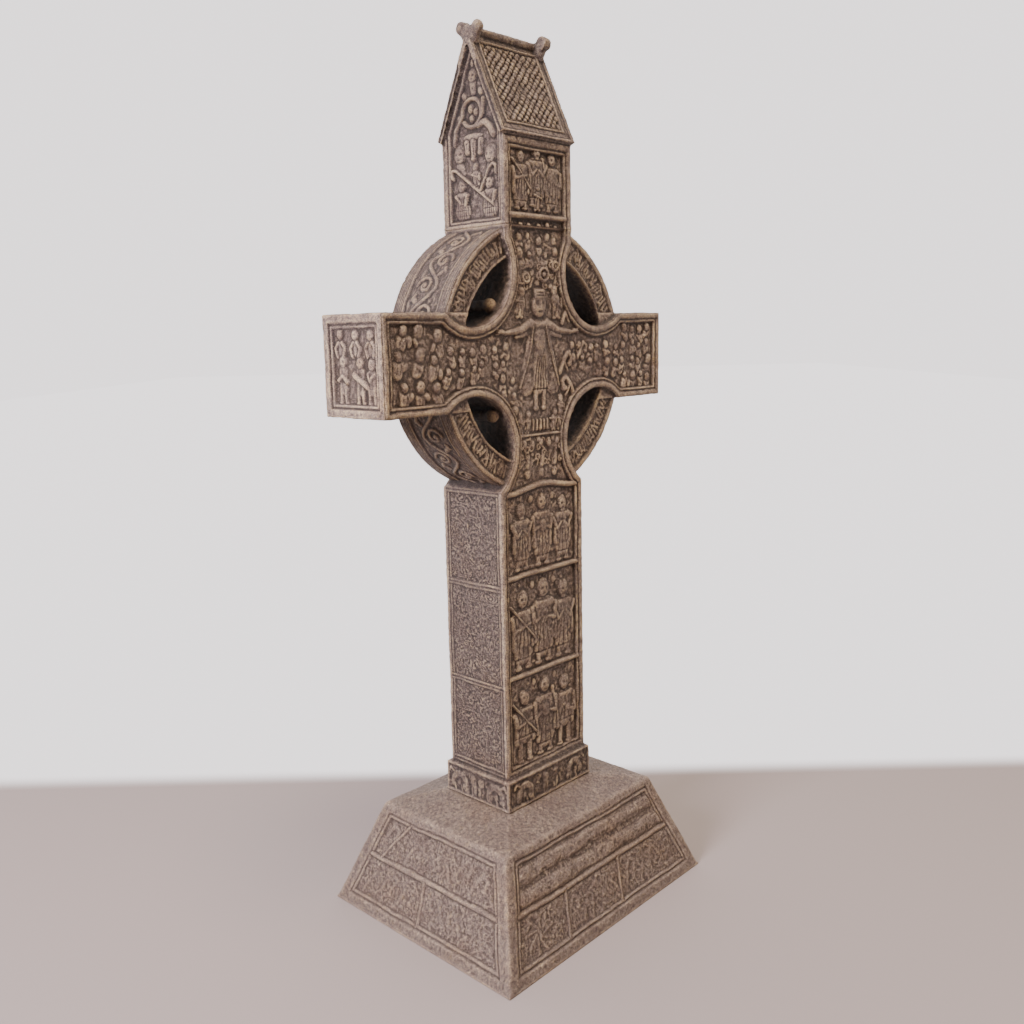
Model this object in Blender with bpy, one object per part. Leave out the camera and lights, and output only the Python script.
"""A tall Celtic high cross: a ringed cross on a tapered plinth, under a house-shaped cap.

Three pieces are stacked with bedding joints: the plinth, the cross (foot band, shaft and
ringed head in one), and the cap. The carved fields stand in sunk panels on every side.
Metres, +Z up, the front faces -Y. The origin is the middle of the plinth's underside.
"""

import math

import bmesh
import bpy
from mathutils import Matrix, Vector

# Bedding joint left between two stacked pieces
JOINT = 0.0003

# Plinth: a truncated pyramid with a gently sloping top
BASE_WIDTH = 0.794
BASE_DEPTH = 0.652
BASE_TOP_WIDTH = 0.592
BASE_TOP_DEPTH = 0.448
BASE_EDGE_HEIGHT = 0.273
BASE_WASH_RISE = 0.026
BASE_FRAME_SIDE = 0.036
BASE_FRAME_TOP = 0.022
BASE_FRAME_BOTTOM = 0.032
BASE_PANEL_SINK = 0.007
BASE_RIB = 0.011

# Foot band, shaft and head
FOOT_WIDTH = 0.330
FOOT_DEPTH = 0.230
FOOT_HEIGHT = 0.082
BED_MARGIN = 0.006
SHAFT_WIDTH = 0.312
CROSS_DEPTH = 0.210
SHAFT_TO_HUB = 1.060
ARM_SPAN = 1.014
ARM_HEIGHT = 0.229
NECK_WIDTH = 0.244
HUB_TO_NECK_TOP = 0.3165

# Hollow between two limbs: a circle struck from a point off the hub
NOTCH_OFFSET_X = 0.230
NOTCH_OFFSET_Z = 0.210
NOTCH_RADIUS = 0.130
NOTCH_STEPS = 9

# Wheel
RING_OUTER_RADIUS = 0.333
RING_INNER_RADIUS = 0.262
RING_DEPTH = 0.188
RING_SINK = 0.004
RING_FACE_FILLET = 0.011
RING_RIM_FILLET = 0.046
RING_STEPS = 44
ROLL_RADIUS = 0.018
ROLL_LENGTH = 0.168
ROLL_SIDES = 12

# Sunk fields: a flat border, a low inner step, then the floor that the figures stand on
BORDER = 0.020
STEP_WIDTH = 0.008
STEP_SINK = 0.003
FIELD_SINK = 0.010
PANEL_BAR = 0.016
SIDE_BORDER = 0.022
SIDE_SINK = 0.005
SHAFT_PANELS = 3
SHAFT_TOP_BELOW_HUB = 0.308

# Cap: a small house with a steep tiled roof and curled gable tips
CAP_WALL_HEIGHT = 0.220
ROOF_RISE = 0.230
ROOF_THICKNESS = 0.016
EAVES_OVERHANG = 0.006
GABLE_OVERHANG = 0.010
EAVES_BAND = 0.024
CAP_LEDGE_HEIGHT = 0.022
CAP_LEDGE = 0.010
CAP_BORDER = 0.024
TILE_COURSES = 10
TILE_LIP = 0.004
ROOF_FRAME = 0.016
RIDGE_RADIUS = 0.011
CURL_RADIUS = 0.017
CURL_SPREAD = 0.022
CURL_RISE = 0.003

# Relief stands this far out of its field's floor, and its middle lies a little under it
RELIEF = 0.010
SEAT = 0.0012

STONE_PAINT = (0.18, 0.135, 0.098, 1.0)
STONE_ROUGHNESS = 0.8

# Levels that follow from the sizes above
BED_Z = BASE_EDGE_HEIGHT + BASE_WASH_RISE
FOOT_Z = BED_Z + JOINT
SHAFT_Z = FOOT_Z + FOOT_HEIGHT
HUB_Z = SHAFT_Z + SHAFT_TO_HUB
NECK_TOP_Z = HUB_Z + HUB_TO_NECK_TOP
CAP_Z = NECK_TOP_Z + JOINT
EAVES_Z = CAP_Z + CAP_WALL_HEIGHT
RIDGE_Z = EAVES_Z + ROOF_RISE

# Cutters run this far past the face that they cut, and joined shapes sink this far in
CLEAR = 0.02
BITE = 0.004
WELD = 0.00002

FRONT, RIGHT, BACK, LEFT = 0, 90, 180, 270


def clear_scene():
    """Remove everything that a new Blender file starts with."""
    for old in list(bpy.data.objects):
        bpy.data.objects.remove(old)


def painted_stone(name):
    """Stone-coloured paint over a cast body."""
    material = bpy.data.materials.new(name)
    material.use_nodes = True
    shader = material.node_tree.nodes["Principled BSDF"]
    shader.inputs["Base Color"].default_value = STONE_PAINT
    shader.inputs["Roughness"].default_value = STONE_ROUGHNESS
    shader.inputs["Metallic"].default_value = 0.0
    return material


def face_frame(side, distance, height=0.0, lean=0.0):
    """Axes of a face seen by someone looking at it: x to their right, y up, z out of the face.

    side is FRONT, RIGHT, BACK or LEFT, distance is from the middle of the object, and
    lean tips the face's top towards the middle.
    """
    turn = Matrix.Rotation(math.radians(side), 4, "Z")
    out_to_front = Matrix.Rotation(math.radians(90) - lean, 4, "X")
    return turn @ Matrix.Translation((0, -distance, height)) @ out_to_front


def link(obj):
    bpy.context.scene.collection.objects.link(obj)
    return obj


def evaluated_mesh(obj):
    """The object's mesh with its modifiers or its curve worked out."""
    bpy.context.view_layer.update()
    graph = bpy.context.evaluated_depsgraph_get()
    return bpy.data.meshes.new_from_object(obj.evaluated_get(graph))


def mesh_object(name, bm, frame=None):
    """A linked object holding the bmesh, with its place written into the mesh."""
    if frame is not None:
        bm.transform(frame)
    bmesh.ops.recalc_face_normals(bm, faces=bm.faces)
    mesh = bpy.data.meshes.new(name)
    bm.to_mesh(mesh)
    bm.free()
    return link(bpy.data.objects.new(name, mesh))


def slab(name, loops, low, high, frame):
    """A flat outline with a thickness from low to high along the frame's z.

    loops holds the outer loop, and after it any holes.
    """
    curve = bpy.data.curves.new(name, "CURVE")
    curve.dimensions = "2D"
    curve.fill_mode = "BOTH"
    curve.extrude = (high - low) / 2
    for loop in loops:
        spline = curve.splines.new("POLY")
        spline.points.add(len(loop) - 1)
        for point, (x, y) in zip(spline.points, loop):
            point.co = (x, y, 0, 1)
        spline.use_cyclic_u = True
    flat = link(bpy.data.objects.new(name, curve))
    bm = bmesh.new()
    bm.from_mesh(evaluated_mesh(flat))
    bpy.data.objects.remove(flat)
    bmesh.ops.remove_doubles(bm, verts=bm.verts, dist=1e-6)
    middle = Matrix.Translation((0, 0, (low + high) / 2))
    return mesh_object(name, bm, frame @ middle)


def rectangle(left, bottom, right, top):
    return [(left, bottom), (right, bottom), (right, top), (left, top)]


def box(name, low, high):
    """A box between two corners."""
    bm = bmesh.new()
    bmesh.ops.create_cube(bm, size=1.0)
    low, high = Vector(low), Vector(high)
    size = high - low
    place = Matrix.Translation((low + high) / 2) @ Matrix.Diagonal((*size, 1))
    return mesh_object(name, bm, place)


def merged(name, pieces):
    """One object holding several pieces as they lie."""
    bm = bmesh.new()
    for piece in pieces:
        bm.from_mesh(piece.data)
        bpy.data.objects.remove(piece)
    mesh = bpy.data.meshes.new(name)
    bm.to_mesh(mesh)
    bm.free()
    return link(bpy.data.objects.new(name, mesh))


def combine(target, pieces, operation):
    """Cut the pieces from the target, or join them to it, and use the pieces up."""
    tool = merged(target.name + "_tool", pieces)
    modifier = target.modifiers.new(operation, "BOOLEAN")
    modifier.operation = operation
    modifier.solver = "EXACT"
    modifier.use_self = True
    modifier.object = tool
    bm = bmesh.new()
    bm.from_mesh(evaluated_mesh(target))
    # slivers where two shapes barely cross are closed up
    bmesh.ops.remove_doubles(bm, verts=bm.verts, dist=WELD)
    bmesh.ops.dissolve_degenerate(bm, edges=bm.edges, dist=WELD)
    target.modifiers.clear()
    bm.to_mesh(target.data)
    bm.free()
    bpy.data.objects.remove(tool)
    return target


def join_in_turns(target, pieces, turns):
    """Join relief so that the overlapping parts of one figure go on one after another."""
    for first in range(turns):
        combine(target, pieces[first::turns], "UNION")


def ellipsoid(frame, centre, radii):
    """A rounded lump, such as a head or an animal's body."""
    bm = bmesh.new()
    bmesh.ops.create_uvsphere(bm, u_segments=6, v_segments=4, radius=1.0)
    # a small twist keeps its corners off the field's middle line
    twist = Matrix.Rotation(0.2, 4, "Z")
    place = Matrix.Translation(centre) @ Matrix.Diagonal((*radii, 1)) @ twist
    return mesh_object("lump", bm, frame @ place)


def limb(frame, start, end, start_radius, end_radius, flatness=1.0):
    """A tapered six-sided bar between two points, such as a robe, an arm or a ridge."""
    start, end = Vector(start), Vector(end)
    bm = bmesh.new()
    bmesh.ops.create_cone(
        bm,
        cap_ends=True,
        segments=6,
        radius1=start_radius,
        radius2=end_radius,
        depth=(end - start).length,
    )
    aim = Vector((0, 0, 1)).rotation_difference(end - start).to_matrix().to_4x4()
    flatten = Matrix.Diagonal((1, 1, flatness, 1))
    place = frame @ Matrix.Translation((start + end) / 2) @ flatten @ aim
    return mesh_object("limb", bm, place)


def head(frame, x, y, floor, height):
    """A small head standing out of a field."""
    centre = (x, y, floor + 0.2 * RELIEF)
    return ellipsoid(frame, centre, (0.4 * height, 0.5 * height, RELIEF))


def robed_figure(frame, foot, height, width):
    """A standing figure in low relief: a robe, then a head."""
    x, y, floor = foot
    hem = min(0.20 * height, 0.46 * width)
    robe = limb(
        frame,
        (x, y, floor),
        (x, y + 0.76 * height, floor),
        hem,
        0.8 * hem,
        RELIEF / hem,
    )
    return [robe, head(frame, x, y + 0.88 * height, floor, 0.24 * height)]


def outstretched_figure(frame, foot, height):
    """A robed figure with its feet showing and both arms held out level."""
    x, y, floor = foot
    hem_y = y + 0.07 * height
    pieces = robed_figure(frame, (x, hem_y, floor), 0.93 * height, height)
    for sign in (-1, 1):
        toe = (x + sign * 0.08 * height, y, floor)
        ankle = (toe[0], y + 0.12 * height, floor)
        shoulder = (x + sign * 0.05 * height, y + 0.71 * height, floor)
        hand = (x + sign * 0.50 * height, y + 0.68 * height, floor)
        pieces.append(limb(frame, toe, ankle, 0.05 * height, 0.04 * height, 0.6))
        pieces.append(limb(frame, shoulder, hand, 0.055 * height, 0.03 * height, 0.7))
    return pieces


def figure_row(frame, left, right, bottom, height, count, floor):
    """Figures side by side across a panel."""
    pitch = (right - left) / count
    pieces = []
    for i in range(count):
        foot = (left + (i + 0.5) * pitch, bottom, floor)
        pieces += robed_figure(frame, foot, height, pitch)
    return pieces


def head_row(frame, left, right, middle, height, count, floor):
    """Heads side by side, as a crowd behind the figures below them."""
    pitch = (right - left) / count
    return [head(frame, left + (i + 0.5) * pitch, middle, floor, height) for i in range(count)]


def crouching_beast(frame, foot, length, facing):
    """A long-bodied animal lying along a band, its head turned to one side."""
    x, y, floor = foot
    depth = RELIEF
    body = ellipsoid(
        frame,
        (x, y + 0.24 * length, floor),
        (0.40 * length, 0.22 * length, depth),
    )
    muzzle = ellipsoid(
        frame,
        (x + facing * 0.40 * length, y + 0.36 * length, floor + 0.2 * depth),
        (0.17 * length, 0.17 * length, depth),
    )
    return [body, muzzle]


def quadrant_arc(sign_x, sign_z, limb_half_width, inset, height_limit):
    """The hollow in one quarter, from the upright limb round to the arm, inset from the edge.

    It stops short at height_limit above or below the hub where it would run past it.
    """
    radius = NOTCH_RADIUS + inset
    arm_z = ARM_HEIGHT / 2 - inset
    rise = math.sqrt(radius**2 - (NOTCH_OFFSET_X - limb_half_width + inset) ** 2)
    rise = min(rise, height_limit - NOTCH_OFFSET_Z)
    reach = math.sqrt(radius**2 - (NOTCH_OFFSET_Z - arm_z) ** 2)
    start = math.atan2(rise, -math.sqrt(radius**2 - rise**2))
    end = math.atan2(arm_z - NOTCH_OFFSET_Z, reach) + 2 * math.pi
    points = []
    for i in range(NOTCH_STEPS + 1):
        angle = start + (end - start) * i / NOTCH_STEPS
        x = NOTCH_OFFSET_X + radius * math.cos(angle)
        z = NOTCH_OFFSET_Z + radius * math.sin(angle)
        points.append((sign_x * x, sign_z * z))
    return points


def cross_outline(inset, bottom, top):
    """The front view of the cross about its hub, clockwise from the top of the neck's right side."""
    end = ARM_SPAN / 2 - inset
    arm = ARM_HEIGHT / 2 - inset
    upper = quadrant_arc(1, 1, NECK_WIDTH / 2, inset, top)
    lower = quadrant_arc(1, -1, SHAFT_WIDTH / 2, inset, -bottom)
    right_side = [*upper, (end, arm), (end, -arm), *reversed(lower)]
    if upper[0][1] < top - 1e-5:
        right_side.insert(0, (upper[0][0], top))
    if lower[0][1] > bottom + 1e-5:
        right_side.append((lower[0][0], bottom))
    left_side = [(-x, z) for x, z in reversed(right_side)]
    return right_side + left_side


def sunk_field(frame, loop_at, sink=FIELD_SINK, step=STEP_SINK):
    """Two cutters, one inside the other, that leave a border, a low step and a floor.

    loop_at gives the outline at a distance in from the border's inner edge.
    """
    return [
        slab("step", [loop_at(0.0)], -step, CLEAR, frame),
        slab("floor", [loop_at(STEP_WIDTH)], -sink, CLEAR, frame),
    ]


def panel_loop(left, bottom, right, top):
    """The outline of a plain rectangular panel, as sunk_field wants it."""
    return lambda d: rectangle(left + d, bottom + d, right - d, top - d)


def base_face_sizes(side):
    """Half widths at the bottom and top, distance out, slope length and lean of a plinth face."""
    across = (BASE_WIDTH, BASE_TOP_WIDTH)
    along = (BASE_DEPTH, BASE_TOP_DEPTH)
    if side in (LEFT, RIGHT):
        across, along = along, across
    back_set = (along[0] - along[1]) / 2
    slope = math.hypot(BASE_EDGE_HEIGHT, back_set)
    lean = math.atan2(back_set, BASE_EDGE_HEIGHT)
    return across[0] / 2, across[1] / 2, along[0] / 2, slope, lean


def base_half_width(side, up):
    """Half width of a plinth face at a height up its slope."""
    wide, narrow, _, slope, _ = base_face_sizes(side)
    return wide + (narrow - wide) * up / slope


def plinth_body():
    """The truncated pyramid and its sloping top, ending in the bed that the foot band stands on."""
    bm = bmesh.new()
    bmesh.ops.create_cube(bm, size=1.0)
    for v in bm.verts:
        on_top = v.co.z > 0
        width = BASE_TOP_WIDTH if on_top else BASE_WIDTH
        depth = BASE_TOP_DEPTH if on_top else BASE_DEPTH
        v.co.x *= width
        v.co.y *= depth
        v.co.z = BASE_EDGE_HEIGHT if on_top else 0.0
    top = max(bm.faces, key=lambda f: f.calc_center_median().z)
    raised = bmesh.ops.extrude_discrete_faces(bm, faces=[top])["faces"][0]
    for v in raised.verts:
        v.co.x *= (FOOT_WIDTH + 2 * BED_MARGIN) / BASE_TOP_WIDTH
        v.co.y *= (FOOT_DEPTH + 2 * BED_MARGIN) / BASE_TOP_DEPTH
        v.co.z = BED_Z
    return mesh_object("plinth", bm)


def plinth_panel(side):
    """The cutter for one sloping face, and the ribs that part its panel into two rows."""
    _, _, out, slope, lean = base_face_sizes(side)
    frame = face_frame(side, out, 0.0, lean)
    low = BASE_FRAME_BOTTOM
    high = slope - BASE_FRAME_TOP
    middle = (low + high) / 2

    def edge(up):
        return base_half_width(side, up) - BASE_FRAME_SIDE

    outline = [(-edge(low), low), (edge(low), low), (edge(high), high), (-edge(high), high)]
    cutter = slab("panel", [outline], -BASE_PANEL_SINK, CLEAR, frame)
    floor = -BASE_PANEL_SINK - BITE
    crest = -BASE_PANEL_SINK + RELIEF / 2
    rib = BASE_RIB / 2
    reach = edge(middle) + BITE
    ribs = [slab("rib", [rectangle(-reach, middle - rib, reach, middle + rib)], floor, crest, frame)]
    # the two rows are parted at different places
    for row_low, row_high, share in ((middle, high, -0.28), (low, middle, 0.10)):
        x = share * edge(middle)
        upright = rectangle(x - rib, row_low - BITE, x + rib, row_high + BITE)
        ribs.append(slab("rib", [upright], floor, crest - 0.001, frame))
    return cutter, ribs


def make_plinth():
    plinth = plinth_body()
    cutters, ribs = [], []
    for side in (FRONT, RIGHT, BACK, LEFT):
        cutter, side_ribs = plinth_panel(side)
        cutters.append(cutter)
        ribs += side_ribs
    combine(plinth, cutters, "DIFFERENCE")
    combine(plinth, ribs, "UNION")
    return plinth


def wheel():
    """The ring, turned about the hub from its section, with sunk bands on its faces and rim."""
    half = RING_DEPTH / 2
    outer, inner = RING_OUTER_RADIUS, RING_INNER_RADIUS
    face_out = outer - RING_FACE_FILLET
    face_in = inner + RING_FACE_FILLET
    rim = half - RING_RIM_FILLET
    front = [
        (outer - RING_SINK, -rim),
        (outer, -rim),
        (outer, -half),
        (face_out, -half),
        (face_out, RING_SINK - half),
        (face_in, RING_SINK - half),
        (face_in, -half),
        (inner, -half),
    ]
    section = front + [(r, -y) for r, y in reversed(front)]
    bm = bmesh.new()
    points = [bm.verts.new((r, y, 0)) for r, y in section]
    edges = [bm.edges.new((a, b)) for a, b in zip(points, points[1:] + points[:1])]
    bmesh.ops.spin(
        bm,
        geom=points + edges,
        cent=(0, 0, 0),
        axis=(0, 1, 0),
        angle=2 * math.pi,
        steps=RING_STEPS,
        use_merge=True,
    )
    bmesh.ops.remove_doubles(bm, verts=bm.verts, dist=1e-5)
    return mesh_object("wheel", bm, Matrix.Translation((0, 0, HUB_Z)))


def hollow_rolls():
    """A short roll lying in the armpit of each quarter, along the cross's depth."""
    reach = math.hypot(NOTCH_OFFSET_X, NOTCH_OFFSET_Z)
    from_hub = reach - NOTCH_RADIUS + ROLL_RADIUS * 0.7
    rolls = []
    for sign_x in (-1, 1):
        for sign_z in (-1, 1):
            x = sign_x * NOTCH_OFFSET_X / reach * from_hub
            z = HUB_Z + sign_z * NOTCH_OFFSET_Z / reach * from_hub
            bm = bmesh.new()
            bmesh.ops.create_cone(
                bm,
                cap_ends=True,
                segments=ROLL_SIDES,
                radius1=ROLL_RADIUS,
                radius2=ROLL_RADIUS,
                depth=ROLL_LENGTH,
            )
            place = Matrix.Translation((x, 0, z)) @ Matrix.Rotation(math.radians(90), 4, "X")
            rolls.append(mesh_object("roll", bm, place))
    return rolls


def shaft_rows(bottom, top):
    """Bottom and top of each panel up the shaft, with bars between them."""
    pitch = (top - bottom + PANEL_BAR) / SHAFT_PANELS
    return [(bottom + i * pitch, bottom + (i + 1) * pitch - PANEL_BAR) for i in range(SHAFT_PANELS)]


def broad_face(side):
    """Cutters and figures for the front or the back of the cross."""
    frame = face_frame(side, CROSS_DEPTH / 2, HUB_Z)
    floor = -FIELD_SINK - SEAT
    head_bottom = -SHAFT_TOP_BELOW_HUB
    cutters = sunk_field(
        frame,
        lambda d: cross_outline(BORDER + d, head_bottom + d, HUB_TO_NECK_TOP + CLEAR),
    )
    half = SHAFT_WIDTH / 2 - BORDER
    rows = shaft_rows(SHAFT_Z - HUB_Z + BORDER, head_bottom - PANEL_BAR)
    relief = []
    for bottom, top in rows:
        cutters += sunk_field(frame, panel_loop(-half, bottom, half, top))
        height = top - bottom - 3 * STEP_WIDTH
        inner = half - STEP_WIDTH
        relief += figure_row(frame, -inner, inner, bottom + 1.5 * STEP_WIDTH, height, 3, floor)

    # the hub's figure, arms out, with two attendants
    big = 1.28 * ARM_HEIGHT
    relief += outstretched_figure(frame, (0, -0.56 * big, floor), big)
    for sign in (-1, 1):
        foot = (sign * 0.30 * big, -0.50 * big, floor)
        relief += robed_figure(frame, foot, 0.42 * big, 0.3 * big)
    # a crowd in each arm under a row of heads, and small figures in the neck and under the hub
    arm_low = -ARM_HEIGHT / 2 + BORDER + 1.5 * STEP_WIDTH
    small = 0.42 * ARM_HEIGHT
    arm_end = ARM_SPAN / 2 - BORDER - 2 * STEP_WIDTH
    crowd_start = NOTCH_OFFSET_X
    heads_at = arm_low + 1.35 * small
    for left, right in ((crowd_start, arm_end), (-arm_end, -crowd_start)):
        relief += figure_row(frame, left, right, arm_low, small, 4, floor)
        relief += head_row(frame, left, right, heads_at, 0.36 * small, 4, floor)
    narrow = 0.7 * (NECK_WIDTH / 2 - BORDER)
    relief += figure_row(frame, -narrow, narrow, HUB_TO_NECK_TOP - 1.25 * small, small, 2, floor)
    relief += figure_row(frame, -narrow, narrow, head_bottom + 1.5 * STEP_WIDTH, small, 2, floor)
    return cutters, relief


def narrow_face(side):
    """Cutters and figures for a narrow side: the shaft's panels and the end of the arm."""
    sign_panels = face_frame(side, SHAFT_WIDTH / 2, HUB_Z)
    half = CROSS_DEPTH / 2 - SIDE_BORDER
    cutters = []
    for bottom, top in shaft_rows(SHAFT_Z - HUB_Z + SIDE_BORDER, -SHAFT_TOP_BELOW_HUB - PANEL_BAR):
        loop = panel_loop(-half, bottom, half, top)
        cutters += sunk_field(sign_panels, loop, SIDE_SINK, STEP_SINK / 2)
    arm_end = face_frame(side, ARM_SPAN / 2, HUB_Z)
    low = -ARM_HEIGHT / 2 + SIDE_BORDER
    cutters += sunk_field(arm_end, panel_loop(-half, low, half, -low))
    inner = half - STEP_WIDTH
    height = -2 * low - 3 * STEP_WIDTH
    floor = -FIELD_SINK - SEAT
    relief = figure_row(arm_end, -inner, inner, low + 1.5 * STEP_WIDTH, height, 3, floor)
    return cutters, relief


def foot_beasts():
    """Animals lying round the foot band, two to a side, face to face."""
    pieces = []
    for side in (FRONT, RIGHT, BACK, LEFT):
        broad = side in (FRONT, BACK)
        out, across = (FOOT_DEPTH, FOOT_WIDTH) if broad else (FOOT_WIDTH, FOOT_DEPTH)
        frame = face_frame(side, out / 2, FOOT_Z)
        length = min(0.32 * across, 1.2 * FOOT_HEIGHT)
        for sign in (-1, 1):
            foot = (sign * 0.25 * across, 0.14 * FOOT_HEIGHT, -SEAT)
            pieces += crouching_beast(frame, foot, length, -sign)
    return pieces


def make_cross():
    depth = CROSS_DEPTH
    middle = face_frame(FRONT, 0.0, HUB_Z)
    outline = cross_outline(0.0, SHAFT_Z - HUB_Z - BITE, HUB_TO_NECK_TOP)
    cross = slab("cross", [outline], -depth / 2, depth / 2, middle)
    cross.name = "cross"
    ring = wheel()
    above_neck = box(
        "above_neck",
        (-RING_OUTER_RADIUS, -depth, NECK_TOP_Z),
        (RING_OUTER_RADIUS, depth, NECK_TOP_Z + RING_OUTER_RADIUS),
    )
    combine(ring, [above_neck], "DIFFERENCE")
    foot = box(
        "foot",
        (-FOOT_WIDTH / 2, -FOOT_DEPTH / 2, FOOT_Z),
        (FOOT_WIDTH / 2, FOOT_DEPTH / 2, SHAFT_Z),
    )
    combine(cross, [ring, foot, *hollow_rolls()], "UNION")

    cutters, relief = [], foot_beasts()
    for side in (FRONT, BACK):
        side_cutters, side_relief = broad_face(side)
        cutters += side_cutters
        relief += side_relief
    for side in (LEFT, RIGHT):
        side_cutters, side_relief = narrow_face(side)
        cutters += side_cutters
        relief += side_relief
    combine(cross, cutters, "DIFFERENCE")
    join_in_turns(cross, relief, 4)
    return cross


def roof_section():
    """The roof's section as a chevron, and its slope's length and lean from the vertical."""
    half = CROSS_DEPTH / 2
    run = half + EAVES_OVERHANG
    lean = math.atan2(half, ROOF_RISE)
    drop = ROOF_THICKNESS / math.sin(lean)
    eaves_drop = ROOF_RISE * EAVES_OVERHANG / half
    ridge = RIDGE_Z
    eaves = EAVES_Z - eaves_drop
    tip = run - ROOF_THICKNESS * math.cos(lean)
    tip_z = eaves - ROOF_THICKNESS * math.sin(lean)
    chevron = [
        (-run, eaves),
        (-tip, tip_z),
        (0, ridge - drop),
        (tip, tip_z),
        (run, eaves),
        (0, ridge),
    ]
    return chevron, math.hypot(ROOF_RISE + eaves_drop, run), lean, eaves


def tile_courses(side, length, lean, eaves):
    """A cutter that sinks the roof's field, and stepped courses laid back into it."""
    half_width = NECK_WIDTH / 2 + GABLE_OVERHANG - ROOF_FRAME
    frame = face_frame(side, CROSS_DEPTH / 2 + EAVES_OVERHANG, eaves, lean)
    low, high = 2 * ROOF_FRAME, length - 1.5 * ROOF_FRAME
    sink = 1.5 * TILE_LIP
    cutter = slab("field", [rectangle(-half_width, low, half_width, high)], -sink, CLEAR, frame)
    pitch = (high - low) / TILE_COURSES
    # each course is thick at its lower lip and dies into the one above
    steps = [(-sink - BITE, low - BITE)]
    for i in range(TILE_COURSES):
        steps.append((-sink + TILE_LIP, low + i * pitch + (BITE if i else -BITE)))
        steps.append((-sink + 0.0005, low + (i + 1) * pitch + BITE))
    steps.append((-sink - BITE, high + BITE))
    turned = frame @ Matrix.Rotation(math.radians(-90), 4, "Y")
    reach = half_width + BITE
    courses = slab("courses", [steps], -reach, reach, turned)
    return cutter, courses


def gable_curls():
    """Two curled tips over each gable, leaning apart."""
    pieces = []
    for end in (-1, 1):
        for sign in (-1, 1):
            x = end * (NECK_WIDTH / 2 + GABLE_OVERHANG - CURL_RADIUS)
            root = (x, 0, RIDGE_Z - 2 * CURL_RADIUS)
            tip = (x, sign * CURL_SPREAD, RIDGE_Z + CURL_RISE)
            upright = Matrix.Identity(4)
            pieces.append(limb(upright, root, tip, CURL_RADIUS, 0.75 * CURL_RADIUS))
            radii = (CURL_RADIUS, 0.9 * CURL_RADIUS, CURL_RADIUS)
            pieces.append(ellipsoid(upright, tip, radii))
    return pieces


def cap_broad_face(side):
    """Cutters and figures for the front or the back wall of the cap."""
    frame = face_frame(side, CROSS_DEPTH / 2, CAP_Z)
    half = NECK_WIDTH / 2 - BORDER
    ledge_top = CAP_LEDGE_HEIGHT + CAP_LEDGE
    top = CAP_WALL_HEIGHT - EAVES_BAND - CAP_LEDGE
    cutters = sunk_field(frame, lambda d: rectangle(-half + d, -CLEAR, half - d, CAP_LEDGE_HEIGHT))
    cutters += sunk_field(frame, panel_loop(-half, ledge_top, half, top))
    inner = half - STEP_WIDTH
    height = top - ledge_top - 3 * STEP_WIDTH
    floor = -FIELD_SINK - SEAT
    relief = figure_row(frame, -inner, inner, ledge_top + 1.5 * STEP_WIDTH, height, 3, floor)
    return cutters, relief


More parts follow.
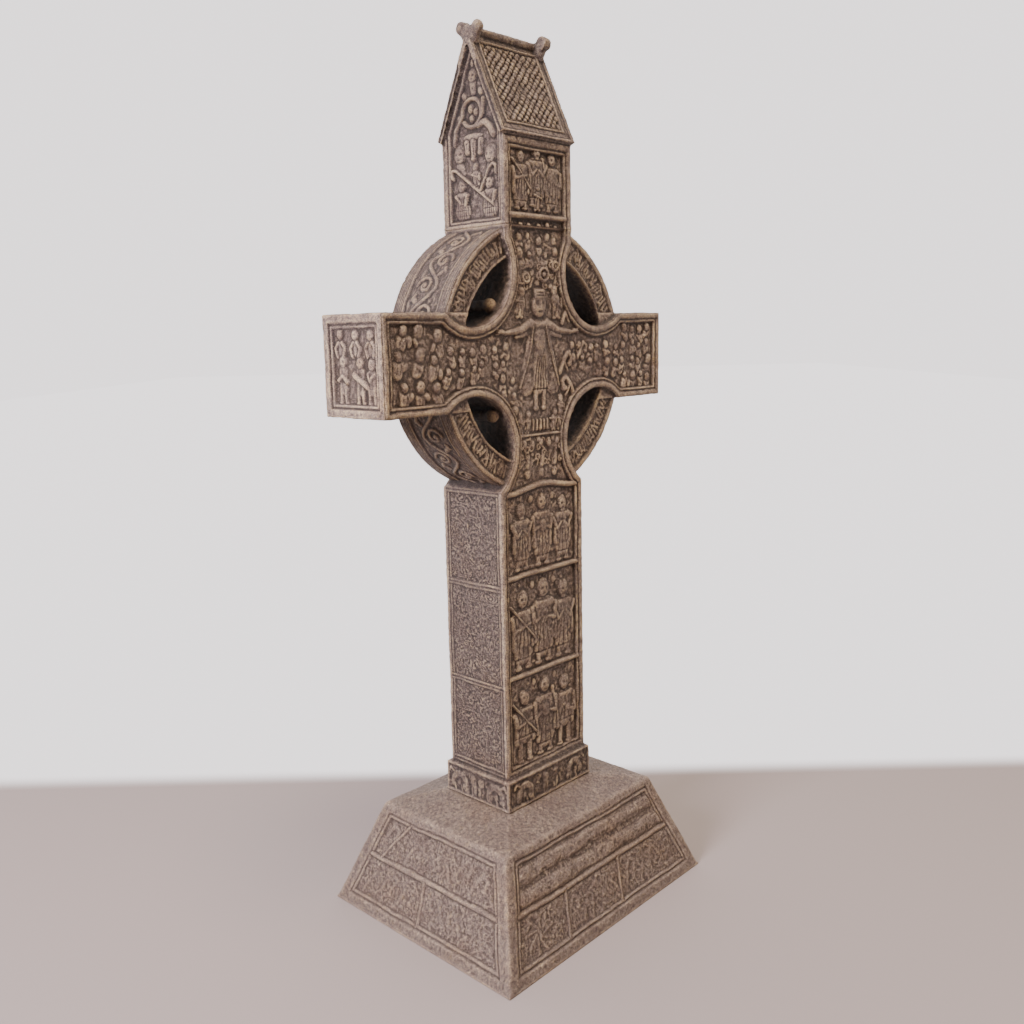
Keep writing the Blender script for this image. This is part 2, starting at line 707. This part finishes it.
def cap_gable(side):
    """Cutters and figures for one gable: two standing figures, a wheel and a small head."""
    frame = face_frame(side, NECK_WIDTH / 2, CAP_Z)
    half = CROSS_DEPTH / 2 - CAP_BORDER

    def gable_loop(d):
        wall = half - d
        shoulder = CAP_WALL_HEIGHT - 0.5 * CAP_BORDER
        peak = shoulder + (half - d) * ROOF_RISE / (CROSS_DEPTH / 2)
        return [(-wall, CAP_LEDGE + d), (wall, CAP_LEDGE + d), (wall, shoulder), (0, peak), (-wall, shoulder)]

    cutters = sunk_field(frame, gable_loop)
    inner = half - STEP_WIDTH
    floor = -FIELD_SINK - SEAT
    tall = 0.72 * CAP_WALL_HEIGHT
    relief = figure_row(frame, -inner, inner, CAP_LEDGE + 1.5 * STEP_WIDTH, tall, 2, floor)
    hoop_radius = 0.30 * inner
    hoop_y = CAP_WALL_HEIGHT + 0.10 * ROOF_RISE
    hoop = bmesh.new()
    section = bmesh.ops.create_circle(hoop, segments=8, radius=RELIEF / 1.5)["verts"]
    bmesh.ops.rotate(hoop, verts=section, cent=(0, 0, 0), matrix=Matrix.Rotation(math.radians(90), 3, "X"))
    bmesh.ops.translate(hoop, verts=section, vec=(hoop_radius + RELIEF, 0, 0))
    bmesh.ops.spin(
        hoop,
        geom=hoop.verts[:] + hoop.edges[:],
        cent=(0, 0, 0),
        axis=(0, 0, 1),
        angle=2 * math.pi,
        steps=16,
        use_merge=True,
    )
    bmesh.ops.remove_doubles(hoop, verts=hoop.verts, dist=1e-5)
    relief.append(mesh_object("hoop", hoop, frame @ Matrix.Translation((0, hoop_y, floor))))
    head_radius = 0.13 * inner
    relief.append(
        ellipsoid(frame, (0, CAP_WALL_HEIGHT + 0.42 * ROOF_RISE, floor), (head_radius, 1.2 * head_radius, RELIEF))
    )
    return cutters, relief


def make_cap():
    half = CROSS_DEPTH / 2
    width = NECK_WIDTH / 2
    end_on = face_frame(RIGHT, 0.0)
    house = [(-half, CAP_Z), (half, CAP_Z), (half, EAVES_Z), (0, RIDGE_Z - BITE), (-half, EAVES_Z)]
    cap = slab("cap", [house], -width, width, end_on)
    cap.name = "cap"
    cutters, relief = [], []
    for side in (FRONT, BACK):
        side_cutters, side_relief = cap_broad_face(side)
        cutters += side_cutters
        relief += side_relief
    for side in (LEFT, RIGHT):
        side_cutters, side_relief = cap_gable(side)
        cutters += side_cutters
        relief += side_relief
    combine(cap, cutters, "DIFFERENCE")

    chevron, length, lean, eaves = roof_section()
    reach = width + GABLE_OVERHANG
    roof = slab("roof", [chevron], -reach, reach, end_on)
    fields, courses = [], []
    for side in (FRONT, BACK):
        field, course = tile_courses(side, length, lean, eaves)
        fields.append(field)
        courses.append(course)
    combine(roof, fields, "DIFFERENCE")
    ridge = limb(
        Matrix.Identity(4),
        (-reach, 0, RIDGE_Z - 0.5 * RIDGE_RADIUS),
        (reach, 0, RIDGE_Z - 0.5 * RIDGE_RADIUS),
        RIDGE_RADIUS,
        RIDGE_RADIUS,
    )
    combine(cap, [roof], "UNION")
    combine(cap, [*courses, ridge], "UNION")
    join_in_turns(cap, relief + gable_curls(), 2)
    return cap


def finish(node, collection):
    """Give a piece its paint and smooth shading, and file it under the object's name."""
    node.data.materials.clear()
    node.data.materials.append(painted_stone(node.name + "_paint"))
    node.data.shade_smooth()
    node.data.set_sharp_from_angle(angle=math.radians(30))
    for old in list(node.users_collection):
        old.objects.unlink(node)
    collection.objects.link(node)


def main():
    clear_scene()
    collection = bpy.data.collections.new("Celtic high cross")
    bpy.context.scene.collection.children.link(collection)
    for make in (make_plinth, make_cross, make_cap):
        finish(make(), collection)


main()
